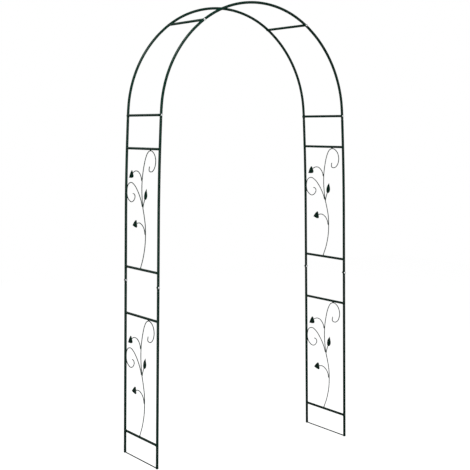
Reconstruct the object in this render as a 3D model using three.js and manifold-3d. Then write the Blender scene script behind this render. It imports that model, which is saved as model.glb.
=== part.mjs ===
// Metal trellis arch for climbing plants: two ladder-like side panels in two storeys, joined overhead by a
// round arch of bent steel tube. Every tube joint is a swaged end pushed into the next tube and bolted.
// Millimetres, +Z up. X runs across the passage, -Y is the front, and the feet stand on z = 0.
import * as THREE from 'three';
import { mergeVertices } from 'three/addons/utils/BufferGeometryUtils.js';
import Module from 'manifold-3d';

const wasm = await Module();
wasm.setup();

// ---- driving dimensions ----
const HEIGHT = 2400; // ground to the top of the arch
const FOOT_HALF_SPAN = 602; // passage middle to a tube's centre line, at the ground
const DEPTH = 364; // front tube to rear tube, between centre lines
const TUBE_D = 14; // frame tube
const RUNG_D = 13; // ladder rungs and crossbars
const WALL = 0.8; // wall of every tube
const GAP = 0.3; // clearance between touching pieces
const LEAN = THREE.MathUtils.degToRad(0.8); // the uprights lean in towards the passage
const BEND_START_Z = 1270; // above this the upright curves gently inwards
const UPRIGHT_BEND_R = 14400;
const SIDE_BEND_R = 606; // the quarter arch on each side
const CROWN_START = THREE.MathUtils.degToRad(54); // tube's angle from vertical where the crown tube starts
const MID_JOINT_Z = 936;
const SPRING_Z = 1807; // height of the joint where the arch springs from the uprights
const JOINT_HALF = 18; // bolt to the tube's seam, and bolt to the end of the swaged plug
const SWAGE_TAPER = 4; // length of the cone between full and swaged diameter
const SWAGE = 1.3; // the swaged end is smaller by this much all round
const GROUND_BAR_D = 6;
const PANELS = { lower: [122, 762], upper: [1010, 1636] }; // heights of a panel's bottom and top rungs
const WIRE_D = 4.5; // vine wire
const LEAF_T = 1.2; // sheet thickness of a leaf
// A leaf's shoulder is its widest place, as a share of its length.
const LEAF = { length: 54, width: 39, shoulder: 0.3 };
const BUD_LEAF = { length: 58, width: 33, shoulder: 0.45 };
const LEAF_LAP = 5; // how far a twig's wire runs onto its leaf
const BOLT_D = 6;
const BOLT_HOLE_D = BOLT_D + 2 * GAP;
const BOLT_HEAD_D = 12;
const BOLT_HEAD_H = 3.6;
const NUT_ACROSS_CORNERS = 11;
const NUT_H = 5;
const THREAD_BEYOND_NUT = 2;
const THREADED_END = 16; // a crossbar is closed by a threaded plug this long at each end
const SCREW_SPARE = 2; // a screw's tip to the end of its threaded plug

const TUBE_SIDES = 12;
const WIRE_SIDES = 6;
const TUBE_R = TUBE_D / 2;
const RUNG_R = RUNG_D / 2;
const WIRE_R = WIRE_D / 2;
const PLUG_LENGTH = 2 * JOINT_HALF;
const BAY = DEPTH / 2 - TUBE_R - GAP; // middle of a panel to the end of its rungs
const SIDES = { left: -1, right: 1 };
const FACES = { front: -1, rear: 1 };

// ---- finishes ----
const finish = (color, roughness, metalness) =>
  new THREE.MeshStandardMaterial({ color, roughness, metalness });
const greenPaint = () => finish(0x1d3327, 0.42, 0.1);
const zincPlate = () => finish(0xd2d6d8, 0.3, 0.95);

const arch = new THREE.Group();
const addPiece = (name, geometry, material) => {
  const mesh = new THREE.Mesh(geometry, material);
  mesh.name = name;
  arch.add(mesh);
};

// ---- the frame's centre line ----
// Half of the arch as straight and round stretches, from the right foot to the crown. Angles are measured
// from the vertical, turning in towards the passage.
class CentreLine {
  constructor(x, z, angle) {
    this.stretches = [];
    this.end = { x, z, angle };
    this.length = 0;
  }

  add(length, radius) {
    this.stretches.push({ ...this.end, from: this.length, length, radius });
    this.length += length;
    this.end = this.at(this.length);
  }

  straight(length) {
    this.add(length, Infinity);
  }

  bend(radius, toAngle) {
    this.add(radius * (toAngle - this.end.angle), radius);
  }

  // Point and angle at a distance along the line. Past the crown it comes down the other side, mirrored.
  at(distance) {
    const mirrored = distance > this.length + 1e-9;
    const d = mirrored ? 2 * this.length - distance : distance;
    const s = this.stretches.findLast((stretch) => d >= stretch.from - 1e-9);
    const along = d - s.from;
    const angle = s.angle + along / s.radius;
    const chord = s.radius === Infinity ? along : 2 * s.radius * Math.sin(along / s.radius / 2);
    const chordAngle = (s.angle + angle) / 2;
    const x = s.x - chord * Math.sin(chordAngle);
    const z = s.z + chord * Math.cos(chordAngle);
    return mirrored ? { x: -x, z, angle: Math.PI - angle } : { x, z, angle };
  }

  // Distance along the line at which it reaches a height.
  atHeight(z) {
    let low = 0;
    let high = this.length;
    for (let i = 0; i < 50; i += 1) {
      const middle = (low + high) / 2;
      if (this.at(middle).z < z) low = middle;
      else high = middle;
    }
    return low;
  }
}

const line = new CentreLine(FOOT_HALF_SPAN, 0, LEAN);
line.straight(BEND_START_Z / Math.cos(LEAN));
line.bend(UPRIGHT_BEND_R, Math.asin(Math.sin(LEAN) + (SPRING_Z - BEND_START_Z) / UPRIGHT_BEND_R));
// The straight stretch above the springing joint takes up what the two arcs leave of the height.
const spring = line.end;
const crownSlope = (1 - Math.sin(CROWN_START)) / Math.cos(CROWN_START);
const sideReach = spring.x - SIDE_BEND_R * (Math.cos(spring.angle) - Math.cos(CROWN_START));
const sideRise = SIDE_BEND_R * (Math.sin(CROWN_START) - Math.sin(spring.angle));
const riseLeft = HEIGHT - TUBE_R - spring.z - sideRise - sideReach * crownSlope;
line.straight(riseLeft / (Math.cos(spring.angle) - crownSlope * Math.sin(spring.angle)));
line.bend(SIDE_BEND_R, CROWN_START);
const crownJoint = line.length;
line.bend(line.end.x / Math.cos(CROWN_START), Math.PI / 2);

const midJoint = line.atHeight(MID_JOINT_Z);
const springJoint = line.atHeight(SPRING_Z);

// ---- tubes ----
const circle = (radius, sides) => {
  const points = [];
  for (let i = 0; i < sides; i += 1) {
    const turn = (2 * Math.PI * i) / sides;
    points.push(new THREE.Vector2(radius * Math.cos(turn), radius * Math.sin(turn)));
  }
  return points;
};

const ring = (radius, sides) => {
  const shape = new THREE.Shape(circle(radius, sides));
  shape.holes.push(new THREE.Path(circle(radius - WALL, sides)));
  return shape;
};

// The centre line of one tube, cut at chosen stations so that bends and tapers get their own sections.
class TubeLine extends THREE.Curve {
  constructor(stations, side, y) {
    super();
    this.stations = stations;
    this.side = side;
    this.y = y;
  }

  station(u) {
    return line.at(this.stations[Math.round(u * (this.stations.length - 1))]);
  }

  getPointAt(u) {
    const { x, z } = this.station(u);
    return new THREE.Vector3(this.side * x, this.y, z);
  }

  getTangentAt(u) {
    const { z, angle } = this.station(u);
    const lean = z === 0 ? 0 : angle; // a foot is cut level with the ground
    return new THREE.Vector3(-this.side * Math.sin(lean), 0, Math.cos(lean));
  }
}

const spread = (from, to, steps) =>
  Array.from({ length: steps + 1 }, (_, i) => from + ((to - from) * i) / steps);

// Draws the sections beyond a shoulder down to the swaged diameter.
const swage = (geometry, tubeLine, shoulder) => {
  const position = geometry.getAttribute('position');
  const last = tubeLine.stations.length - 1;
  const vertex = new THREE.Vector3();
  for (let i = 0; i < position.count; i += 1) {
    vertex.fromBufferAttribute(position, i);
    for (let k = 0; k <= last; k += 1) {
      const centre = tubeLine.getPointAt(k / last);
      const offset = vertex.clone().sub(centre);
      const inSection = Math.abs(offset.dot(tubeLine.getTangentAt(k / last))) < 0.01;
      if (inSection && offset.length() < TUBE_D && tubeLine.stations[k] > shoulder) {
        vertex.copy(centre).addScaledVector(offset, 1 - SWAGE / offset.length());
        position.setXYZ(i, vertex.x, vertex.y, vertex.z);
        break;
      }
    }
  }
};

const toSolid = (geometry) => {
  geometry.deleteAttribute('normal');
  geometry.deleteAttribute('uv');
  const merged = mergeVertices(geometry, 1e-4);
  const vertProperties = new Float32Array(merged.getAttribute('position').array);
  const triVerts = new Uint32Array(merged.index.array);
  return new wasm.Manifold(new wasm.Mesh({ numProp: 3, vertProperties, triVerts }));
};

const toGeometry = (solid) => {
  const { vertProperties, triVerts } = solid.getMesh();
  const geometry = new THREE.BufferGeometry();
  geometry.setAttribute('position', new THREE.BufferAttribute(vertProperties, 3));
  geometry.setIndex(new THREE.BufferAttribute(triVerts, 1));
  geometry.computeVertexNormals();
  return geometry;
};

// Bolt holes run front to rear through the tube's centre line.
const drill = (geometry, side, y, joints) => {
  let solid = toSolid(geometry);
  for (const joint of joints) {
    const hole = new THREE.CylinderGeometry(BOLT_HOLE_D / 2, BOLT_HOLE_D / 2, 2 * TUBE_D, 10);
    const { x, z } = line.at(joint);
    hole.translate(side * x, y, z);
    solid = solid.subtract(toSolid(hole));
  }
  return toGeometry(solid);
};

// One bent frame tube. A socket is an end that takes the swaged plug of the tube before it.
const frameTube = ({ from, to, steps, side, y, sockets, joints }) => {
  const swaged = sockets < 2;
  const seam = to - JOINT_HALF - GAP;
  const bendFrom = sockets > 0 ? from + PLUG_LENGTH : from;
  const bendTo = swaged ? seam - SWAGE_TAPER : to - PLUG_LENGTH;
  const start = sockets > 0 ? [from] : [];
  const end = swaged ? [seam, to + JOINT_HALF] : [to];
  const stations = [...start, ...spread(bendFrom, bendTo, steps), ...end];
  const tubeLine = new TubeLine(stations, side, y);
  const geometry = new THREE.ExtrudeGeometry(ring(TUBE_R, TUBE_SIDES), {
    steps: stations.length - 1,
    extrudePath: tubeLine,
  });
  if (swaged) swage(geometry, tubeLine, to - JOINT_HALF - SWAGE_TAPER);
  return drill(geometry, side, y, joints);
};

for (const [sideName, side] of Object.entries(SIDES)) {
  for (const [faceName, face] of Object.entries(FACES)) {
    const y = (face * DEPTH) / 2;
    const lower = { from: 0, to: midJoint, steps: 1, side, y, sockets: 0, joints: [midJoint] };
    addPiece(`${sideName}_lower_${faceName}_upright`, frameTube(lower), greenPaint());
    const upper = { from: midJoint - JOINT_HALF, to: springJoint, steps: 4, side, y, sockets: 1 };
    upper.joints = [midJoint, springJoint];
    addPiece(`${sideName}_upper_${faceName}_upright`, frameTube(upper), greenPaint());
    const quarter = { from: springJoint - JOINT_HALF, to: crownJoint, steps: 8, side, y, sockets: 1 };
    quarter.joints = [springJoint, crownJoint];
    addPiece(`${sideName}_${faceName}_arch_tube`, frameTube(quarter), greenPaint());
  }
}

for (const [faceName, face] of Object.entries(FACES)) {
  const crown = {
    from: crownJoint - JOINT_HALF,
    to: 2 * line.length - crownJoint + JOINT_HALF,
    steps: 10,
    side: 1,
    y: (face * DEPTH) / 2,
    sockets: 2,
    joints: [crownJoint, 2 * line.length - crownJoint],
  };
  addPiece(`${faceName}_crown_tube`, frameTube(crown), greenPaint());
}

// ---- rungs, ground bars and crossbars, all running front to rear ----
const turned = (profile, sides) => {
  const points = profile.map(([r, y]) => new THREE.Vector2(r, y));
  return new THREE.LatheGeometry(points, sides);
};

const placeOnLine = (geometry, side, distance) => {
  const { x, z } = line.at(distance);
  return geometry.translate(side * x, 0, z);
};

const addBar = (name, geometry, side, distance) => {
  addPiece(name, placeOnLine(geometry, side, distance), greenPaint());
};

const rung = () => {
  const bore = RUNG_R - WALL;
  return turned([[bore, -BAY], [RUNG_R, -BAY], [RUNG_R, BAY], [bore, BAY], [bore, -BAY]], TUBE_SIDES);
};

// A crossbar is a tube whose ends are closed by threaded plugs, pressed and welded in.
const crossbar = () => {
  const bore = RUNG_R - WALL;
  const thread = BOLT_HOLE_D / 2;
  const plug = BAY - THREADED_END;
  const outside = [[thread, -BAY], [RUNG_R, -BAY], [RUNG_R, BAY], [thread, BAY]];
  const inside = [[thread, plug], [bore, plug], [bore, -plug], [thread, -plug], [thread, -BAY]];
  return turned([...outside, ...inside], TUBE_SIDES);
};

for (const [sideName, side] of Object.entries(SIDES)) {
  const groundBar = new THREE.CylinderGeometry(GROUND_BAR_D / 2, GROUND_BAR_D / 2, 2 * BAY, 8);
  addBar(`${sideName}_ground_bar`, groundBar, side, line.atHeight(GROUND_BAR_D / 2));
  for (const [panelName, [bottom, top]] of Object.entries(PANELS)) {
    addBar(`${sideName}_${panelName}_bottom_rung`, rung(), side, line.atHeight(bottom));
    addBar(`${sideName}_${panelName}_top_rung`, rung(), side, line.atHeight(top));
  }
  addBar(`${sideName}_spring_crossbar`, crossbar(), side, springJoint);
  addBar(`${sideName}_crown_crossbar`, crossbar(), side, crownJoint);
}

// ---- fasteners ----
// A pan-head bolt pointing along +Y, with the seat of its head at the origin.
const panHeadBolt = (shankLength) => {
  const r = BOLT_HEAD_D / 2;
  const h = BOLT_HEAD_H;
  const head = [[0, -h], [r * 0.7, -h * 0.9], [r, -h * 0.35], [r, 0]];
  const shank = [[BOLT_D / 2, 0], [BOLT_D / 2, shankLength], [0, shankLength]];
  return turned([...head, ...shank], 8);
};

const hexNut = () => {
  const shape = new THREE.Shape(circle(NUT_ACROSS_CORNERS / 2, 6));
  shape.holes.push(new THREE.Path(circle(BOLT_HOLE_D / 2, 8)));
  const nut = new THREE.ExtrudeGeometry(shape, { depth: NUT_H, bevelEnabled: false });
  return nut.rotateX(-Math.PI / 2);
};

const seat = TUBE_R + GAP; // tube's centre line to a bolt head or nut
const boltLength = 2 * seat + NUT_H + THREAD_BEYOND_NUT;
const screwLength = 2 * seat + THREADED_END - SCREW_SPARE;
for (const [sideName, side] of Object.entries(SIDES)) {
  for (const [faceName, face] of Object.entries(FACES)) {
    const y = (face * DEPTH) / 2;
    const corner = `${sideName}_${faceName}`;
    const bolt = panHeadBolt(boltLength).translate(0, y - seat, 0);
    const nut = hexNut().translate(0, y + seat, 0);
    addPiece(`${corner}_mid_bolt`, placeOnLine(bolt, side, midJoint), zincPlate());
    addPiece(`${corner}_mid_nut`, placeOnLine(nut, side, midJoint), zincPlate());
    for (const [jointName, joint] of Object.entries({ spring: springJoint, crown: crownJoint })) {
      const screw = panHeadBolt(screwLength).rotateX(face < 0 ? 0 : Math.PI);
      screw.translate(0, y + face * seat, 0);
      addPiece(`${corner}_${jointName}_screw`, placeOnLine(screw, side, joint), zincPlate());
    }
  }
}

// ---- vine decoration ----
// Each panel has the same vine of bent wire welded between its rungs. Points are [across, up]: across runs
// from the rear upright at 0 to the front one at 1, up from the bottom rung at 0 to the top rung at 1.
const MAIN_STEM = [
  [0.47, 0.0135], [0.545, 0.1], [0.6, 0.205], [0.612, 0.3], [0.603, 0.375], [0.565, 0.455],
  [0.525, 0.52], [0.5, 0.6], [0.49, 0.68], [0.5, 0.76], [0.535, 0.845], [0.585, 0.92],
  [0.645, 0.967], [0.72, 0.9845], [0.795, 0.976], [0.862, 0.945], [0.888, 0.895],
  [0.852, 0.842], [0.778, 0.815], [0.7, 0.822], [0.708, 0.858],
];
const CURL = [
  [0.508, 0.522], [0.482, 0.56], [0.443, 0.595], [0.375, 0.642], [0.27, 0.692], [0.16, 0.715],
  [0.062, 0.695], [0.027, 0.645], [0.05, 0.588], [0.16, 0.553], [0.247, 0.568], [0.284, 0.6],
  [0.264, 0.618], [0.215, 0.624],
];
// A twig's wire ends on its leaf. The turn is the leaf's lean from straight up, towards the front.
const BUD = {
  route: [[0.533, 0.515], [0.545, 0.54], [0.565, 0.565], [0.588, 0.592]],
  turn: 14,
  blank: BUD_LEAF,
};
const UPPER_LEAF = {
  route: [
    [0.478, 0.735], [0.465, 0.762], [0.425, 0.79], [0.365, 0.81], [0.285, 0.813],
    [0.22, 0.801], [0.19, 0.792],
  ],
  turn: -120,
  blank: LEAF,
};
const LOWER_LEAF = {
  route: [
    [0.595, 0.295], [0.583, 0.325], [0.55, 0.353], [0.5, 0.373], [0.43, 0.385],
    [0.365, 0.381], [0.33, 0.376],
  ],
  turn: -104,
  blank: LEAF,
};

const panelPoint = (side, [bottom, top], [across, up]) => {
  const z = bottom + up * (top - bottom);
  return new THREE.Vector3(side * line.at(line.atHeight(z)).x, DEPTH / 2 - across * DEPTH, z);
};

const wire = (side, panel, route, steps) => {
  const shape = new THREE.Shape(circle(WIRE_R, WIRE_SIDES));
  const extrudePath = new THREE.CatmullRomCurve3(route.map((point) => panelPoint(side, panel, point)));
  return new THREE.ExtrudeGeometry(shape, { steps, extrudePath });
};

// A pointed leaf with round shoulders, cut from sheet, its foot at the origin and its tip up +Y.
const leafBlank = ({ length: l, width, shoulder }) => {
  const shape = new THREE.Shape();
  const w = width / 2;
  shape.moveTo(0, 0);
  const widest = l * shoulder;
  const below = widest - l * 0.26;
  const above = widest + l * 0.24;
  shape.bezierCurveTo(w * 0.6, -l * 0.06, w * 1.2, below, w, widest);
  shape.bezierCurveTo(w * 0.84, above, w * 0.3, l * 0.8, 0, l);
  shape.bezierCurveTo(-w * 0.3, l * 0.8, -w * 0.84, above, -w, widest);
  shape.bezierCurveTo(-w * 1.2, below, -w * 0.6, -l * 0.06, 0, 0);
  const sheet = { depth: LEAF_T, bevelEnabled: false, curveSegments: 4 };
  return new THREE.ExtrudeGeometry(shape, sheet).translate(0, 0, -LEAF_T / 2);
};

const leaf = (side, panel, { route, turn, blank }) => {
  const geometry = leafBlank(blank).translate(0, -LEAF_LAP, 0).rotateZ(THREE.MathUtils.degToRad(turn));
  const end = panelPoint(side, panel, route.at(-1));
  const { angle } = line.at(line.atHeight(end.z));
  const upPanel = new THREE.Vector3(-side * Math.sin(angle), 0, Math.cos(angle));
  const toRear = new THREE.Vector3(0, 1, 0);
  const matrix = new THREE.Matrix4().makeBasis(toRear, upPanel, toRear.clone().cross(upPanel));
  return geometry.applyMatrix4(matrix).translate(end.x, end.y, end.z);
};

const weld = (...geometries) => toGeometry(wasm.Manifold.union(geometries.map(toSolid)));

for (const [sideName, side] of Object.entries(SIDES)) {
  for (const [panelName, panel] of Object.entries(PANELS)) {
    const prefix = `${sideName}_${panelName}_vine`;
    const bud = [wire(side, panel, BUD.route, 4), leaf(side, panel, BUD)];
    addPiece(`${prefix}_stem_and_bud`, weld(wire(side, panel, MAIN_STEM, 30), ...bud), greenPaint());
    addPiece(`${prefix}_curl`, wire(side, panel, CURL, 24), greenPaint());
    for (const [leafName, twig] of Object.entries({ upper_leaf: UPPER_LEAF, lower_leaf: LOWER_LEAF })) {
      const pieces = [wire(side, panel, twig.route, 8), leaf(side, panel, twig)];
      addPiece(`${prefix}_${leafName}`, weld(...pieces), greenPaint());
    }
  }
}

export default arch;
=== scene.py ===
import math
import random

import bpy
import numpy as np
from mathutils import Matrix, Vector


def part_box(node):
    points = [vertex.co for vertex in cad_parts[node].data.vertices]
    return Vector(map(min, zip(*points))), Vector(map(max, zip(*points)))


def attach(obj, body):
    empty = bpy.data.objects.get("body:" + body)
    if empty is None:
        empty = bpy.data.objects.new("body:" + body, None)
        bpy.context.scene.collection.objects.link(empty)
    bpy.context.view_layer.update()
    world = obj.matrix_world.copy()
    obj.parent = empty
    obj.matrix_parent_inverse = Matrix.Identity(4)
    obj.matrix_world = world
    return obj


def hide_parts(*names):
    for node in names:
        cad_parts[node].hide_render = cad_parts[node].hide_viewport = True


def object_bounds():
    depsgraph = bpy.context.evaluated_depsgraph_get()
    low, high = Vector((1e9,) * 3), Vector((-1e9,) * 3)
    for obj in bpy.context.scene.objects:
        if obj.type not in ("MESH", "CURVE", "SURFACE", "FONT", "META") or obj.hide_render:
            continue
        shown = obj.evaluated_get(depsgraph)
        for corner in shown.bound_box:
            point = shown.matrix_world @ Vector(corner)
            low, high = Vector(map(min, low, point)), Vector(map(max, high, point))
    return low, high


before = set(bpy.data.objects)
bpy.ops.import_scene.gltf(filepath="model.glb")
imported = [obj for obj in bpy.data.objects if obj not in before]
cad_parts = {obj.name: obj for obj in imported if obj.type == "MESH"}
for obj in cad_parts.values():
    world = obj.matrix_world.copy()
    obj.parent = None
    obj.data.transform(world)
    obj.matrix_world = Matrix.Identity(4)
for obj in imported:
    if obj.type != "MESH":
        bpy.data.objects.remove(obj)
cad_low, cad_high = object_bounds()

MM = 0.001
X, Y, Z = np.eye(3)
SIDES = {"left": -1, "right": 1}
FACES = {"front": -1, "rear": 1}
PANELS = ("lower", "upper")
BODY = "root"
dice = random.Random(7)


# ---- what the frame says ----
def corners(node):
    low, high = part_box(node)
    return np.array(low), np.array(high)


def middle(node):
    low, high = corners(node)
    return (low + high) / 2


def half_size(node):
    low, high = corners(node)
    return (high - low) / 2


TUBE_R = half_size("left_lower_front_upright")[1]
RUNG_R = half_size("left_lower_top_rung")[2]
GROUND_BAR_R = half_size("left_ground_bar")[2]
BAR_END = half_size("left_lower_top_rung")[1]  # panel's middle to the end of its rungs
FRAME_Y = middle("left_lower_rear_upright")[1]  # panel's middle to a frame tube's centre line
DEPTH = 2 * FRAME_Y
LOWER_TUBE_TOP = corners("left_lower_front_upright")[1][2]
UPPER_TUBE_FOOT = corners("left_upper_front_upright")[0][2]
JOINT_HALF = (LOWER_TUBE_TOP - UPPER_TUBE_FOOT) / 2  # a joint's bolt to either end of the overlap
BOLT_HEAD_R = half_size("left_front_mid_bolt")[0]
NUT_R = half_size("left_front_mid_nut")[0]  # to the corners

# ---- sizes the frame doesn't hold ----
WALL = 0.8 * MM
SWAGE = 1.3 * MM  # a swaged end is smaller by this much all round
SWAGE_TAPER = 4 * MM
SWAGE_SHAPE = ((0, 0), (0.2, 0.06), (0.5, 0.5), (0.8, 0.94), (1, 1))  # (share of taper, share of swage)
SOCKET_DEPTH = 2 * JOINT_HALF + 3 * MM
FOOT_BORE_DEPTH = 80 * MM
PLUG_BORE_DEPTH = 20 * MM
LIP = 0.35 * MM  # rounding of cut tube ends
ROUNDED = 0.3  # the middle of a rounded edge is in from the corner by this share of its radius
WIRE_R = 2.25 * MM
LEAF_T = 1.2 * MM
# A leaf's shoulder is its widest place, as a share of its length.
LEAF = {"length": 54 * MM, "width": 39 * MM, "shoulder": 0.3}
BUD_LEAF = {"length": 58 * MM, "width": 33 * MM, "shoulder": 0.45}
LEAF_LAP = 5 * MM  # how far a twig's wire runs onto its leaf
LEAF_ROLLED_FROM = 0.86  # the leaf's edge rounds off beyond this share of its half width
BOLT_R = 3 * MM
BOLT_HEAD_H = 3.6 * MM
HEAD_BEVEL = 0.25 * MM
RECESS_DEPTH = 1.2 * MM
THREAD_LENGTH = 8 * MM
THREAD_PITCH = 1 * MM
THREAD_DEPTH = 0.5 * MM
THREAD_RUN_OUT = 0.5 * MM  # bevelled tip past the last thread
THREADED_HOLE_DEPTH = 15 * MM
RUNG_BEAD_R = 1.5 * MM
GROUND_BAR_BEAD_R = 1.2 * MM
WELD_SUNK = 0.3 * MM  # a welded bar's ends go this far into the tube's surface
GROUND_GAP = 0.1 * MM  # weld beads are flattened this far above the ground

# ---- how finely round things are divided ----
TUBE_SIDES = 36
RUNG_SIDES = 32
WIRE_SIDES = 16
BEAD_SIDES = 10
TACK_SIDES = 14
HEAD_SIDES = 64
SHANK_SIDES = 32
NUT_SIDES = 72
TUBE_STEP = 14 * MM
WIRE_STEP = 4 * MM
BAR_STEPS = 24
BEAD_STEPS = 44
TACK_STEPS = 12
LEAF_ROWS = 60
SMOOTH_BELOW = math.radians(38)  # edges sharper than this stay crisp


# ---- curves ----
def unit(vector):
    return vector / np.linalg.norm(vector)


def spline(points, spacing):
    """Centripetal Catmull-Rom curve through the points, as points about spacing apart."""
    points = [np.array(p, float) for p in points]
    padded = [2 * points[0] - points[1], *points, 2 * points[-1] - points[-2]]
    dense = []
    for p0, p1, p2, p3 in zip(padded, padded[1:], padded[2:], padded[3:]):
        k0, k1, k2 = (math.sqrt(np.linalg.norm(b - a)) for a, b in ((p0, p1), (p1, p2), (p2, p3)))
        slope1 = ((p1 - p0) / k0 - (p2 - p0) / (k0 + k1) + (p2 - p1) / k1) * k1
        slope2 = ((p2 - p1) / k1 - (p3 - p1) / (k1 + k2) + (p3 - p2) / k2) * k1
        steps = max(2, math.ceil(np.linalg.norm(p2 - p1) / spacing))
        for t in np.arange(steps) / steps:
            square = (3 * (p2 - p1) - 2 * slope1 - slope2) * t**2
            cube = (2 * (p1 - p2) + slope1 + slope2) * t**3
            dense.append(p1 + slope1 * t + square + cube)
    dense.append(points[-1])
    return np.array(dense)


class Path:
    """A line of closely spaced points, measured along its length."""

    def __init__(self, points):
        self.points = points
        steps = np.linalg.norm(np.diff(points, axis=0), axis=1)
        self.distance = np.concatenate([[0], np.cumsum(steps)])
        self.length = self.distance[-1]

    def at(self, s):
        return np.array([np.interp(s, self.distance, self.points[:, k]) for k in range(3)])

    def direction(self, s):
        reach = 1.5 * MM
        return unit(self.at(min(s + reach, self.length)) - self.at(max(s - reach, 0)))

    def nearest(self, point):
        return self.distance[np.argmin(np.linalg.norm(self.points - point, axis=1))]


def smooth_path(points, spacing=1 * MM):
    """A path along the smooth curve through a few points."""
    return Path(spline(points, spacing))


# ---- surfaces: each is (vertices, faces) ----
def skin(rings, closed=False):
    """Joins rings of points into one surface. A ring of a single point is a pole."""
    vertices = []
    starts = []
    for ring in rings:
        starts.append(len(vertices))
        vertices.extend(ring)
    faces = []
    count = len(rings)
    for a in range(count if closed else count - 1):
        b = (a + 1) % count
        sides = max(len(rings[a]), len(rings[b]))
        for k in range(sides):
            after = (k + 1) % sides
            near = [starts[a]] if len(rings[a]) == 1 else [starts[a] + k, starts[a] + after]
            far = [starts[b]] if len(rings[b]) == 1 else [starts[b] + after, starts[b] + k]
            faces.append(near + far)
    return vertices, faces


def turned(path, hint, profile, sides, shape=None):
    """A round piece along a path. The profile gives (distance, radius), with poles where the radius
    is 0. The hint is the direction in which a ring starts, and shape(angle, distance, radius) may move
    a point: it gives the new (distance, radius)."""
    rings = []
    for s, radius in profile:
        if radius == 0:
            rings.append([path.at(s)])
            continue
        along = path.direction(s)
        u = unit(hint - np.dot(hint, along) * along)
        v = np.cross(along, u)
        centre = path.at(s)
        ring = []
        for k in range(sides):
            angle = 2 * math.pi * k / sides
            moved, r = shape(angle, s, radius) if shape else (s, radius)
            outward = math.cos(angle) * u + math.sin(angle) * v
            ring.append(centre + (moved - s) * along + r * outward)
        rings.append(ring)
    return skin(rings)


def bead(points, heart, radius, ripples):
    """A rippled weld bead along a closed loop of points round its heart."""
    ripple_height = 0.1
    unevenness = 0.03
    count = len(points)
    phase = dice.uniform(0, 2 * math.pi)
    rings = []
    for k, point in enumerate(points):
        along = unit(points[(k + 1) % count] - points[k - 1])
        outward = point - heart
        u = unit(outward - np.dot(outward, along) * along)
        v = np.cross(along, u)
        wave = math.cos(ripples * 2 * math.pi * k / count + phase)
        r = radius * (1 + ripple_height * wave + dice.uniform(-unevenness, unevenness))
        turns = [2 * math.pi * j / BEAD_SIDES for j in range(BEAD_SIDES)]
        rings.append([point + r * (math.cos(a) * u + math.sin(a) * v) for a in turns])
    return skin(rings, closed=True)


def tack(centre, along, half_length, radius):
    """A short weld, thickest in the middle, with uneven ripples."""
    fullness = 0.6
    ripple_height = 0.08
    ripple_turns = 22
    along = unit(along)
    ends = [centre - half_length * along, centre + half_length * along]
    path = smooth_path(ends, half_length / 4)
    phase = dice.uniform(0, 2 * math.pi)
    profile = [(0, 0)]
    for k in range(1, TACK_STEPS):
        t = k / TACK_STEPS
        ripple = 1 + ripple_height * math.cos(ripple_turns * t + phase)
        swell = math.sin(math.pi * t) ** fullness * ripple
        profile.append((t * path.length, radius * swell))
    profile.append((path.length, 0))
    nearly_along_x = abs(along[0]) > 0.9
    hint = Z if nearly_along_x else X
    return turned(path, hint, profile, TACK_SIDES)


# ---- finishes ----
NOISE_LOW = 0.3  # noise lies between these almost everywhere
NOISE_HIGH = 0.7


def node_material(name):
    material = bpy.data.materials.new(name)
    material.use_nodes = True
    return material, material.node_tree.nodes, material.node_tree.links


def noise(nodes, links, scale, detail):
    place = nodes.new("ShaderNodeTexCoord")
    texture = nodes.new("ShaderNodeTexNoise")
    texture.inputs["Scale"].default_value = scale
    texture.inputs["Detail"].default_value = detail
    links.new(place.outputs["Object"], texture.inputs["Vector"])
    return texture.outputs["Fac"]


def ramp(nodes, links, value, dark, light):
    colours = nodes.new("ShaderNodeValToRGB")
    colours.color_ramp.elements[0].position = NOISE_LOW
    colours.color_ramp.elements[0].color = (*dark, 1)
    colours.color_ramp.elements[1].position = NOISE_HIGH
    colours.color_ramp.elements[1].color = (*light, 1)
    links.new(value, colours.inputs["Fac"])
    return colours.outputs["Color"]


def spread(nodes, links, value, low, high):
    remap = nodes.new("ShaderNodeMapRange")
    remap.inputs["From Min"].default_value = NOISE_LOW
    remap.inputs["From Max"].default_value = NOISE_HIGH
    remap.inputs["To Min"].default_value = low
    remap.inputs["To Max"].default_value = high
    links.new(value, remap.inputs["Value"])
    return remap.outputs["Result"]


def bump(nodes, links, height, distance, strength):
    relief = nodes.new("ShaderNodeBump")
    relief.inputs["Distance"].default_value = distance
    relief.inputs["Strength"].default_value = strength
    links.new(height, relief.inputs["Height"])
    return relief.outputs["Normal"]


def powder_coat():
    """Dark green powder coat: even colour, faintly cloudy, with the orange peel of a baked coat."""
    material, nodes, links = node_material("green_powder_coat")
    shader = nodes["Principled BSDF"]
    cloud = noise(nodes, links, scale=14, detail=4)
    colour = ramp(nodes, links, cloud, dark=(0.0035, 0.026, 0.0155), light=(0.005, 0.032, 0.0195))
    links.new(colour, shader.inputs["Base Color"])
    peel = noise(nodes, links, scale=1100, detail=2)
    roughness = spread(nodes, links, peel, low=0.26, high=0.36)
    links.new(roughness, shader.inputs["Roughness"])
    relief = bump(nodes, links, peel, distance=0.06 * MM, strength=0.5)
    links.new(relief, shader.inputs["Normal"])
    shader.inputs["Specular IOR Level"].default_value = 0.16
    return material


def bright_zinc():
    """Bright zinc plate: pale metal, slightly mottled, with fine tool marks."""
    material, nodes, links = node_material("bright_zinc")
    shader = nodes["Principled BSDF"]
    mottle = noise(nodes, links, scale=420, detail=4)
    colour = ramp(nodes, links, mottle, dark=(0.84, 0.86, 0.87), light=(0.94, 0.95, 0.95))
    links.new(colour, shader.inputs["Base Color"])
    roughness = spread(nodes, links, mottle, low=0.34, high=0.44)
    links.new(roughness, shader.inputs["Roughness"])
    marks = noise(nodes, links, scale=3200, detail=2)
    relief = bump(nodes, links, marks, distance=0.02 * MM, strength=0.4)
    links.new(relief, shader.inputs["Normal"])
    shader.inputs["Metallic"].default_value = 0.8
    return material


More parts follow.
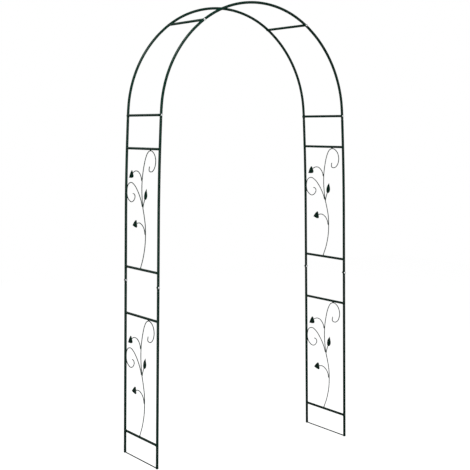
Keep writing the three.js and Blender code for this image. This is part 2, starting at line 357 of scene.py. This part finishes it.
FINISHES = {"green_paint": powder_coat(), "zinc_plate": bright_zinc()}


def piece(name, surfaces, slot, *nodes):
    """One finished piece made of surfaces, standing for the CAD nodes that it replaces."""
    vertices = []
    faces = []
    for part_vertices, part_faces in surfaces:
        base = len(vertices)
        vertices.extend(tuple(v) for v in part_vertices)
        faces.extend([base + i for i in face] for face in part_faces)
    mesh = bpy.data.meshes.new(name)
    mesh.from_pydata(vertices, [], faces)
    mesh.polygons.foreach_set("use_smooth", [True] * len(faces))
    mesh.set_sharp_from_angle(angle=SMOOTH_BELOW)
    mesh.materials.append(FINISHES[slot])
    made = bpy.data.objects.new(name, mesh)
    bpy.context.scene.collection.objects.link(made)
    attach(made, BODY)
    if nodes:
        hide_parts(*nodes)


# ---- frame tubes ----
def frame_points():
    """Points of the frame's centre line from the left foot over the crown to the right foot. The
    foremost ridge of each front tube's facets runs straight in front of its centre line."""
    ridge_depth = 0.01 * MM
    least_step = 12 * MM
    front = -FRAME_Y - TUBE_R
    ridge = []
    for name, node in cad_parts.items():
        if "front" in name and name.endswith(("upright", "tube")):
            ridge += [v.co for v in node.data.vertices if v.co.y < front + ridge_depth]
    heart = (cad_low.z + cad_high.z) / 2
    ridge.sort(key=lambda p: math.atan2(p.x, p.z - heart))
    kept = []
    for p in ridge:
        point = np.array([p.x, 0, p.z])
        if not kept or np.linalg.norm(point - kept[-1]) > least_step:
            kept.append(point)
    return kept


frame_line = smooth_path(frame_points(), 2 * MM)
mirror = np.array([-1, 1, 1])


def frame_path(side, face):
    """The centre line of one frame, from that side's foot over the crown."""
    turn = 1 if side < 0 else mirror
    return Path(frame_line.points * turn + face * FRAME_Y * Y)


left_half = frame_line.points[: len(frame_line.points) // 2]


def line_x(z):
    """Distance of the frame's centre line from the passage's middle, at a height."""
    return float(np.interp(z, left_half[:, 2], -left_half[:, 0]))


def line_lean(z):
    """Angle of the frame's centre line from the vertical, in towards the passage."""
    reach = 5 * MM
    low = max(z - reach, 0)
    high = z + reach
    return math.atan2(line_x(low) - line_x(high), high - low)


def joint_place(name):
    """Distance along the frame of a joint's bolt."""
    return frame_line.nearest(middle(f"left_front_{name}") * (X + Z))


MID_JOINT = joint_place("mid_bolt")
SPRING_JOINT = joint_place("spring_screw")
CROWN_JOINT = joint_place("crown_screw")


def cut_end(end, inward, radius, bore, depth):
    """Profile of an open tube end, from the bottom of its bore out over the rounded lip. inward is 1
    where the tube runs on to larger distances, and -1 where it ends."""
    return [
        (end + inward * depth, 0),
        (end + inward * depth, bore),
        (end + inward * LIP, bore),
        (end, bore + LIP * 0.6),
        (end, radius - LIP),
        (end + inward * LIP * ROUNDED, radius - LIP * ROUNDED),
        (end + inward * LIP, radius),
    ]


def frame_tube(name, side, face, start, end, socket, swaged):
    """One bent tube. Its start may be a socket for the tube before it, and its end may be swaged into
    the plug for the next one. A crown tube has sockets at both ends."""
    path = frame_path(side, face)
    bore = TUBE_R - WALL
    profile = cut_end(start, 1, TUBE_R, bore, SOCKET_DEPTH if socket else FOOT_BORE_DEPTH)
    shoulder = end - 2 * JOINT_HALF - SWAGE_TAPER if swaged else end
    body_to = shoulder if swaged else end - LIP
    steps = math.ceil((body_to - start) / TUBE_STEP)
    for k in range(1, steps):
        profile.append((start + LIP + (body_to - start - LIP) * k / steps, TUBE_R))
    if swaged:
        plug = TUBE_R - SWAGE
        for t, share in SWAGE_SHAPE:
            profile.append((shoulder + SWAGE_TAPER * t, TUBE_R - SWAGE * share))
        profile += reversed(cut_end(end, -1, plug, plug - WALL, PLUG_BORE_DEPTH))
    else:
        profile += reversed(cut_end(end, -1, TUBE_R, bore, SOCKET_DEPTH))
    piece(f"{name}_finished", [turned(path, Y, profile, TUBE_SIDES)], "green_paint", name)


# A lower tube starts here, so that its slanted end clears the ground.
foot = TUBE_R * math.sin(line_lean(0))
for side_name, side in SIDES.items():
    for face_name, face in FACES.items():
        lower = f"{side_name}_lower_{face_name}_upright"
        frame_tube(lower, side, face, foot, MID_JOINT + JOINT_HALF, socket=False, swaged=True)
        upper = f"{side_name}_upper_{face_name}_upright"
        start = MID_JOINT - JOINT_HALF
        frame_tube(upper, side, face, start, SPRING_JOINT + JOINT_HALF, socket=True, swaged=True)
        quarter = f"{side_name}_{face_name}_arch_tube"
        start = SPRING_JOINT - JOINT_HALF
        frame_tube(quarter, side, face, start, CROWN_JOINT + JOINT_HALF, socket=True, swaged=True)
for face_name, face in FACES.items():
    start = CROWN_JOINT - JOINT_HALF
    end = frame_line.length - start
    frame_tube(f"{face_name}_crown_tube", SIDES["left"], face, start, end, socket=True, swaged=False)


# ---- rungs, ground bars and crossbars ----
def saddle(radius, angle):
    """Distance from the panel's middle at which a welded bar meets the frame tube's round side. The
    angle goes round the bar from straight up."""
    across = radius * math.sin(angle)
    return FRAME_Y - math.sqrt(TUBE_R**2 - across**2)


def welded_bar(node, radius):
    """A bar whose ends are shaped to the tubes that it is welded to."""
    x, _, z = middle(node)
    path = smooth_path([(x, -FRAME_Y, z), (x, FRAME_Y, z)], 10 * MM)

    def to_saddle(angle, s, r):
        share = s / FRAME_Y - 1
        return FRAME_Y + share * (saddle(radius, angle) + WELD_SUNK), r

    inner = saddle(radius, 0) + WELD_SUNK
    body = [(DEPTH * k / BAR_STEPS, radius) for k in range(BAR_STEPS + 1)]
    profile = [(FRAME_Y - inner, 0), *body, (FRAME_Y + inner, 0)]
    surface = turned(path, Z, profile, RUNG_SIDES, to_saddle)
    piece(f"{node}_finished", [surface], "green_paint", node)


def end_beads(node, radius, thickness):
    """The weld beads round both ends of a bar, flattened where one would reach into the ground."""
    ripples = 13
    x, _, z = middle(node)
    made = []
    for face in FACES.values():
        loop = []
        for k in range(BEAD_STEPS):
            angle = face * 2 * math.pi * k / BEAD_STEPS
            y = face * saddle(radius, angle)
            loop.append(np.array([x + radius * math.sin(angle), y, z + radius * math.cos(angle)]))
        points, faces = bead(loop, np.array([x, face * BAR_END, z]), thickness, ripples)
        made.append(([(p[0], p[1], max(p[2], GROUND_GAP)) for p in points], faces))
    return made


def crossbar(node):
    """A tube whose ends are closed by threaded plugs, each with a bevelled mouth for its screw."""
    x, _, z = middle(node)
    path = smooth_path([(x, -BAR_END, z), (x, BAR_END, z)], 10 * MM)
    plug_in = 0.4 * MM  # the plug's face is this far inside the tube's end
    bevel = 0.6 * MM
    gap = 0.25 * MM
    hole = BOLT_R + 0.1 * MM
    bore = RUNG_R - WALL
    end = [
        (THREADED_HOLE_DEPTH, 0),
        (THREADED_HOLE_DEPTH, hole),
        (plug_in + bevel, hole),
        (plug_in, hole + bevel),
        (plug_in, bore - gap),
        (plug_in + gap, bore),
        (LIP, bore),
        (0, bore + LIP * 0.5),
        (0, RUNG_R - LIP),
        (LIP * ROUNDED, RUNG_R - LIP * ROUNDED),
        (LIP, RUNG_R),
    ]
    far_end = [(2 * BAR_END - s, r) for s, r in reversed(end)]
    body = [(2 * BAR_END * k / BAR_STEPS, RUNG_R) for k in range(1, BAR_STEPS)]
    piece(f"{node}_finished", [turned(path, Z, end + body + far_end, RUNG_SIDES)], "green_paint", node)


for side_name in SIDES:
    welded_bar(f"{side_name}_ground_bar", GROUND_BAR_R)
    for panel in PANELS:
        for end in ("bottom", "top"):
            welded_bar(f"{side_name}_{panel}_{end}_rung", RUNG_R)
    for joint in ("spring", "crown"):
        crossbar(f"{side_name}_{joint}_crossbar")


# ---- fasteners, all along Y ----
def cross_recess(angle, r):
    """Depth of the cross-shaped driver recess under a point of the head."""
    along = abs(r * math.cos(angle))
    across = abs(r * math.sin(angle))
    arm = 0.6 * MM
    reach = 2.7 * MM
    wall_slope = 0.25 * MM
    floor_slope = 0.7 * MM
    wall = min(max((arm - min(along, across)) / wall_slope, 0), 1)
    floor = min(max((reach - max(along, across)) / floor_slope, 0), 1)
    return RECESS_DEPTH * wall * floor


def head_surface(path):
    """Pan head, from the middle of its recess out over the dome to its flat seat. The path starts at
    the head's top."""
    straight_side = 0.55  # share of the head's height
    ring_step = 0.15 * MM
    rings_in_recess = 18

    def height(r):
        dome = math.sqrt(max(1 - (r / BOLT_HEAD_R) ** 4, 0))
        return BOLT_HEAD_H * (straight_side + (1 - straight_side) * dome)

    def sunk(angle, s, r):
        return s + cross_recess(angle, r), r

    profile = [(RECESS_DEPTH, 0)]
    radii = [ring_step * k for k in range(1, rings_in_recess + 1)]
    radii += [BOLT_HEAD_R * share for share in (0.63, 0.7, 0.77, 0.84, 0.9, 0.95, 0.985, 1)]
    profile += [(BOLT_HEAD_H - height(r), r) for r in radii]
    profile += [(BOLT_HEAD_H - HEAD_BEVEL, BOLT_HEAD_R), (BOLT_HEAD_H, BOLT_HEAD_R - HEAD_BEVEL)]
    profile += [(BOLT_HEAD_H, BOLT_R), (BOLT_HEAD_H, 0)]
    return turned(path, Z, profile, HEAD_SIDES, sunk)


def shank_surface(path):
    """Shank from inside the head to its bevelled tip, with a cut thread on its last stretch."""
    start = BOLT_HEAD_H - 0.4 * MM
    tip = path.length
    tip_r = BOLT_R - 0.8 * MM
    plain_to = tip - THREAD_LENGTH
    rows_per_turn = 6
    rows = math.ceil(THREAD_LENGTH / (THREAD_PITCH / rows_per_turn))

    def thread(angle, s, r):
        if s <= plain_to or s >= tip - THREAD_RUN_OUT:
            return s, r
        phase = (s / THREAD_PITCH - angle / (2 * math.pi)) % 1
        return s, r - THREAD_DEPTH * abs(2 * phase - 1)

    profile = [(start, 0), (start, BOLT_R), (plain_to, BOLT_R)]
    profile += [(plain_to + THREAD_LENGTH * k / rows, BOLT_R) for k in range(1, rows - 3)]
    profile += [(tip - THREAD_RUN_OUT, BOLT_R - THREAD_DEPTH * 0.6), (tip, tip_r), (tip, 0)]
    return turned(path, Z, profile, SHANK_SIDES, thread)


def screw(node, face):
    """A pan-head screw driven in from that face, filling its CAD solid's length."""
    low, high = corners(node)
    x, _, z = middle(node)
    ends = [(x, low[1], z), (x, high[1], z)]
    path = smooth_path(ends if face < 0 else ends[::-1], 5 * MM)
    surfaces = [head_surface(path), shank_surface(path)]
    piece(f"{node}_finished", surfaces, "zinc_plate", node)


def hex_nut(node):
    """A hexagon nut with the round bevels that chamfering leaves on its corners."""
    low, high = corners(node)
    x, _, z = middle(node)
    path = smooth_path([(x, low[1], z), (x, high[1], z)])
    flat = NUT_R * math.cos(math.radians(30))  # middle to a flat side
    bevel_slope = math.tan(math.radians(60))
    bevel_foot = flat * 0.985
    mouth = 0.3 * MM
    heights = [0, 0.08, 0.16, 0.24, 0.32, 0.42, 0.5, 0.58, 0.68, 0.76, 0.84, 0.92, 1]

    def hexagon(angle, s, r):
        if r < flat:
            return s, r
        to_face = min(s, path.length - s)
        side_angle = (angle % math.radians(60)) - math.radians(30)
        return s, min(flat / math.cos(side_angle), bevel_foot + to_face * bevel_slope)

    outside = [(path.length * h, flat) for h in heights]
    far_mouth = [(path.length, BOLT_R + mouth), (path.length - mouth, BOLT_R)]
    near_mouth = [(mouth, BOLT_R), (0, BOLT_R + mouth)]
    profile = outside + far_mouth + near_mouth
    vertices, faces = turned(path, Z, profile, NUT_SIDES, hexagon)
    last = (len(profile) - 1) * NUT_SIDES
    for k in range(NUT_SIDES):
        after = (k + 1) % NUT_SIDES
        faces.append([last + k, last + after, after, k])
    piece(f"{node}_finished", [(vertices, faces)], "zinc_plate", node)


for side_name in SIDES:
    for face_name, face in FACES.items():
        corner = f"{side_name}_{face_name}"
        screw(f"{corner}_mid_bolt", FACES["front"])
        hex_nut(f"{corner}_mid_nut")
        for joint in ("spring", "crown"):
            screw(f"{corner}_{joint}_screw", face)

# ---- vine decoration ----
# Points are [across, up] in a panel: across runs from the rear upright at 0 to the front one at 1, and
# up from the bottom rung at 0 to the top rung at 1.
MAIN_STEM = [
    [0.47, 0.0135], [0.545, 0.1], [0.6, 0.205], [0.612, 0.3], [0.603, 0.375], [0.565, 0.455],
    [0.525, 0.52], [0.5, 0.6], [0.49, 0.68], [0.5, 0.76], [0.535, 0.845], [0.585, 0.92],
    [0.645, 0.967], [0.72, 0.9845], [0.795, 0.976], [0.862, 0.945], [0.888, 0.895],
    [0.852, 0.842], [0.778, 0.815], [0.7, 0.822], [0.708, 0.858],
]
CURL = [
    [0.508, 0.522], [0.482, 0.56], [0.443, 0.595], [0.375, 0.642], [0.27, 0.692], [0.16, 0.715],
    [0.062, 0.695], [0.027, 0.645], [0.05, 0.588], [0.16, 0.553], [0.247, 0.568], [0.284, 0.6],
    [0.264, 0.618], [0.215, 0.624],
]
# A twig's wire ends on its leaf. The turn is the leaf's lean from straight up, towards the front.
BUD = {
    "route": [[0.533, 0.515], [0.545, 0.54], [0.565, 0.565], [0.588, 0.592]],
    "turn": 14,
    "blank": BUD_LEAF,
}
UPPER_LEAF = {
    "route": [
        [0.478, 0.735], [0.465, 0.762], [0.425, 0.79], [0.365, 0.81], [0.285, 0.813],
        [0.22, 0.801], [0.19, 0.792],
    ],
    "turn": -120,
    "blank": LEAF,
}
LOWER_LEAF = {
    "route": [
        [0.595, 0.295], [0.583, 0.325], [0.55, 0.353], [0.5, 0.373], [0.43, 0.385],
        [0.365, 0.381], [0.33, 0.376],
    ],
    "turn": -104,
    "blank": LEAF,
}
HIGHEST_OF_STEM = MAIN_STEM[13]
REARMOST_OF_CURL = CURL[7]


def panel_point(side_name, panel, across, up):
    bottom = middle(f"{side_name}_{panel}_bottom_rung")[2]
    top = middle(f"{side_name}_{panel}_top_rung")[2]
    z = bottom + up * (top - bottom)
    return np.array([SIDES[side_name] * line_x(z), FRAME_Y - across * DEPTH, z])


def route_path(side_name, panel, route):
    return smooth_path([panel_point(side_name, panel, *point) for point in route])


def wire(path):
    """Round wire with domed ends."""
    dome = [(0, 0)]
    for a in np.radians([20, 40, 60, 75, 90]):
        dome.append((WIRE_R * (1 - math.cos(a)), WIRE_R * math.sin(a)))
    straight = path.length - 2 * WIRE_R
    steps = math.ceil(straight / WIRE_STEP)
    body = [(WIRE_R + straight * k / steps, WIRE_R) for k in range(1, steps)]
    far_dome = [(path.length - s, r) for s, r in reversed(dome)]
    return turned(path, X, dome + body + far_dome, WIRE_SIDES)


def bezier(controls, t):
    """Point of a cubic Bezier curve."""
    a, b, c, d = (np.array(p, float) for p in controls)
    return a * (1 - t) ** 3 + 3 * b * t * (1 - t) ** 2 + 3 * c * t * t * (1 - t) + d * t**3


def leaf_edge(blank, t):
    """The leaf's right-hand edge from foot to tip, as (across, along)."""
    w = blank["width"] / 2
    length = blank["length"]
    widest = length * blank["shoulder"]
    below = [(0, 0), (w * 0.6, -length * 0.06), (w * 1.2, widest - length * 0.26), (w, widest)]
    above = [(w, widest), (w * 0.84, widest + length * 0.24), (w * 0.3, length * 0.8), (0, length)]
    return bezier(below, 2 * t) if t < 0.5 else bezier(above, 2 * t - 1)


def leaf_relief(blank, across, t, u):
    """Height of the pressed sheet at t along the leaf and u of its half width: a cupped blade that
    curls up at its tip, with a rib down its middle and pairs of veins."""
    rib_height = 0.9 * MM
    rib_reach = 1.4 * MM
    veins = 6
    vein_height = 0.45 * MM
    cup_height = 2.2 * MM
    curl_height = 2.5 * MM
    rib = rib_height * math.exp(-((across / rib_reach) ** 2))
    row = (0.5 + 0.5 * math.cos(2 * math.pi * veins * t)) ** 3
    vein = vein_height * row * math.sin(math.pi * abs(u)) ** 0.5
    cup = cup_height * (2 * across / blank["width"]) ** 2
    curl = curl_height * t**3
    return cup + curl - rib - vein


def leaf(side_name, panel, twig):
    """A pointed leaf pressed from sheet, its foot on the twig's end. Rows follow the veins, out and up
    from the middle rib, so that row t leaves the rib at t squared of the length."""
    columns = [0, 0.1, 0.2, 0.32, 0.44, 0.56, 0.68, 0.78, LEAF_ROLLED_FROM, 0.91, 0.95, 0.98, 1]
    columns = [-u for u in reversed(columns[1:])] + columns
    end = panel_point(side_name, panel, *twig["route"][-1])
    lean = line_lean(end[2])
    up_panel = np.array([-SIDES[side_name] * math.sin(lean), 0, math.cos(lean)])
    outward = np.cross(Y, up_panel)
    turn = math.radians(twig["turn"])
    tipward = math.cos(turn) * up_panel - math.sin(turn) * Y
    sideways = np.cross(tipward, outward)
    blank = twig["blank"]

    def place(t, u, face):
        edge = leaf_edge(blank, t)
        across = u * edge[0]
        outer = abs(u) ** 1.5
        along = edge[1] * outer + blank["length"] * t * t * (1 - outer) - LEAF_LAP
        rim = min(max((abs(u) - LEAF_ROLLED_FROM) / (1 - LEAF_ROLLED_FROM), 0), 1)
        thick = LEAF_T / 2 * math.sqrt(1 - rim * rim)
        height = leaf_relief(blank, across, t, u) + face * thick
        return end + across * sideways + along * tipward + height * outward

    rings = [[place(0, 0, 0)]]
    for k in range(1, LEAF_ROWS):
        t = k / LEAF_ROWS
        front = [place(t, u, 1) for u in columns]
        back = [place(t, u, -1) for u in reversed(columns[1:-1])]
        rings.append(front + back)
    rings.append([place(1, 0, 0)])
    return skin(rings)


def vine(side_name, panel):
    """The bent wires and leaves of one panel."""
    prefix = f"{side_name}_{panel}_vine"

    def wire_of(route):
        return wire(route_path(side_name, panel, route))

    stem = [wire_of(MAIN_STEM), wire_of(BUD["route"]), leaf(side_name, panel, BUD)]
    piece(f"{prefix}_stem_and_bud_finished", stem, "green_paint", f"{prefix}_stem_and_bud")
    piece(f"{prefix}_curl_finished", [wire_of(CURL)], "green_paint", f"{prefix}_curl")
    for leaf_name, twig in {"upper_leaf": UPPER_LEAF, "lower_leaf": LOWER_LEAF}.items():
        node = f"{prefix}_{leaf_name}"
        surfaces = [wire_of(twig["route"]), leaf(side_name, panel, twig)]
        piece(f"{node}_finished", surfaces, "green_paint", node)


def vine_welds(side_name, panel):
    """The short welds that hold the vine's wires to the rungs, to the rear upright and to each other."""
    stem = route_path(side_name, panel, MAIN_STEM)
    foot_point = panel_point(side_name, panel, *MAIN_STEM[0])
    top_point = panel_point(side_name, panel, *HIGHEST_OF_STEM)
    rear_point = panel_point(side_name, panel, *REARMOST_OF_CURL)
    top_rung = middle(f"{side_name}_{panel}_top_rung")[2]
    foot_drop = 1.2 * MM
    made = [tack(foot_point - foot_drop * Z, Y, half_length=5 * MM, radius=2.9 * MM)]
    under_rung = (top_point[2] + WIRE_R + top_rung - RUNG_R) / 2
    spot = np.array([top_point[0], top_point[1], under_rung])
    made.append(tack(spot, Y, half_length=8 * MM, radius=2.1 * MM))
    beside_tube = (rear_point[1] + WIRE_R + FRAME_Y - TUBE_R) / 2
    spot = np.array([rear_point[0], beside_tube, rear_point[2]])
    made.append(tack(spot, Z, half_length=8 * MM, radius=2.1 * MM))
    for route in (CURL, BUD["route"], UPPER_LEAF["route"], LOWER_LEAF["route"]):
        branch = route_path(side_name, panel, route)
        start = branch.at(5 * MM)
        beside = stem.nearest(start)
        between = (start + stem.at(beside)) / 2
        made.append(tack(between, stem.direction(beside), half_length=8 * MM, radius=2.4 * MM))
    for twig in (BUD, UPPER_LEAF, LOWER_LEAF):
        branch = route_path(side_name, panel, twig["route"])
        onto_leaf = branch.length - LEAF_LAP
        along = branch.direction(onto_leaf)
        made.append(tack(branch.at(onto_leaf), along, half_length=4 * MM, radius=2.5 * MM))
    return made


for side_name in SIDES:
    for panel in PANELS:
        vine(side_name, panel)
        welds = vine_welds(side_name, panel)
        for end in ("bottom", "top"):
            welds += end_beads(f"{side_name}_{panel}_{end}_rung", RUNG_R, RUNG_BEAD_R)
        if panel == "lower":
            welds += end_beads(f"{side_name}_ground_bar", GROUND_BAR_R, GROUND_BAR_BEAD_R)
        piece(f"{side_name}_{panel}_welds", welds, "green_paint")


# ---- camera, floor and light ----
def add_camera():
    """The photo's view: a pinhole camera fitted to the real arch."""
    camera = bpy.data.cameras.new("camera")
    camera.lens = 89.15
    camera.sensor_width = 36
    camera.clip_end = 100
    held = bpy.data.objects.new("camera", camera)
    held.location = (-3.361, -5.336, 1.7484)
    held.rotation_euler = (math.radians(84.685), 0, math.radians(-32.08))
    bpy.context.scene.collection.objects.link(held)
    bpy.context.scene.camera = held


def camera_share(nodes, links, cast, seen):
    """A strength that is seen as it is by the camera, and casts another strength on everything else."""
    ray = nodes.new("ShaderNodeLightPath")
    strength = nodes.new("ShaderNodeMapRange")
    strength.inputs["To Min"].default_value = cast
    strength.inputs["To Max"].default_value = seen
    links.new(ray.outputs["Is Camera Ray"], strength.inputs["Value"])
    return strength.outputs["Result"]


def add_floor(half_width, cast, seen):
    """A pale square floor that the camera sees as white."""
    mesh = bpy.data.meshes.new("floor")
    corners_round = [(-1, -1), (1, -1), (1, 1), (-1, 1)]
    vertices = [(half_width * x, half_width * y, 0) for x, y in corners_round]
    mesh.from_pydata(vertices, [], [(0, 1, 2, 3)])
    material, nodes, links = node_material("pale_floor")
    shader = nodes["Principled BSDF"]
    cloud = noise(nodes, links, scale=2, detail=2)
    tone = ramp(nodes, links, cloud, dark=(0.48, 0.48, 0.48), light=(0.5, 0.5, 0.5))
    links.new(tone, shader.inputs["Base Color"])
    shader.inputs["Roughness"].default_value = 0.9
    shader.inputs["Specular IOR Level"].default_value = 0.1
    shader.inputs["Emission Color"].default_value = (1, 1, 1, 1)
    links.new(camera_share(nodes, links, cast, seen), shader.inputs["Emission Strength"])
    mesh.materials.append(material)
    floor = bpy.data.objects.new("floor", mesh)
    bpy.context.scene.collection.objects.link(floor)


def add_softbox(name, place, aim, width, height, power):
    light = bpy.data.lights.new(name, "AREA")
    light.shape = "RECTANGLE"
    light.size = width
    light.size_y = height
    light.energy = power
    box = bpy.data.objects.new(name, light)
    box.location = place
    facing = Vector(aim) - Vector(place)
    box.rotation_euler = facing.to_track_quat("-Z", "Y").to_euler()
    box.visible_camera = False
    bpy.context.scene.collection.objects.link(box)


def add_surroundings(cast, seen):
    """A white surrounding as the camera sees it, which casts only a little light of its own."""
    world = bpy.data.worlds.new("surroundings")
    bpy.context.scene.world = world
    world.use_nodes = True
    nodes, links = world.node_tree.nodes, world.node_tree.links
    background = nodes["Background"]
    background.inputs["Color"].default_value = (1, 1, 1, 1)
    links.new(camera_share(nodes, links, cast, seen), background.inputs["Strength"])


add_camera()
add_floor(half_width=7, cast=0.02, seen=0.98)
add_surroundings(cast=0.02, seen=1)
left_side = (-0.6, 0, 1)
left_crown_joint = (-0.47, -0.18, 2.17)
add_softbox("overhead", (-1.1, -0.8, 3.1), left_crown_joint, width=0.7, height=0.7, power=22)
add_softbox("key", (-1.6, -0.95, 1.1), left_side, width=0.6, height=2.2, power=14)
add_softbox("rear", (-2.2, 5.3, 3.5), left_side, width=3, height=2, power=24)
add_softbox("front", (3.2, -4.6, 1.1), (0, 0, 1.1), width=3, height=2.6, power=62)
bpy.context.scene.view_settings.view_transform = "Standard"
